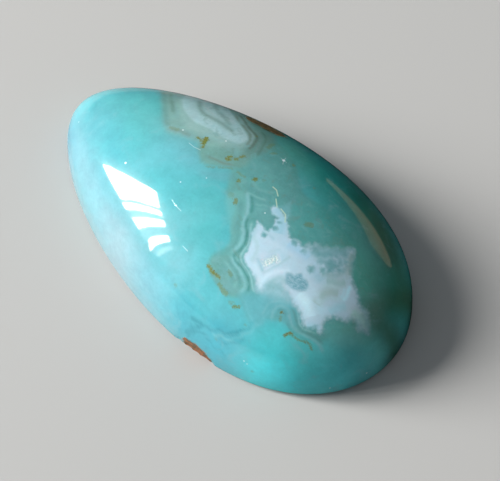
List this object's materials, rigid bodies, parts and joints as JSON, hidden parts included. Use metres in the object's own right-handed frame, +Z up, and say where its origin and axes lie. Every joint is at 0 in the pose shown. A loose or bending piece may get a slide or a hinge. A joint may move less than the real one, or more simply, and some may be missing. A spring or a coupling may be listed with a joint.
{
  "type": "gem silica cabochon",
  "caption": "Polished pear-shaped gem silica cabochon with a domed top, low girdle wall and flat back, for a bezel setting or a mineral collection.",
  "frame": {"origin": "on the plane of the flat back, under the middle of the outline's box", "axes": "+X along the length towards the blunt end, +Y across, +Z up through the dome"},
  "size_m": [0.03, 0.0168, 0.0077],
  "materials": {
    "gem_silica": "polished translucent blue-green chalcedony with white agate, brown specks and a brown matrix sliver"
  },
  "bodies": {
    "root": {"gem_silica_cabochon": "gem_silica"}
  },
  "joints": []
}
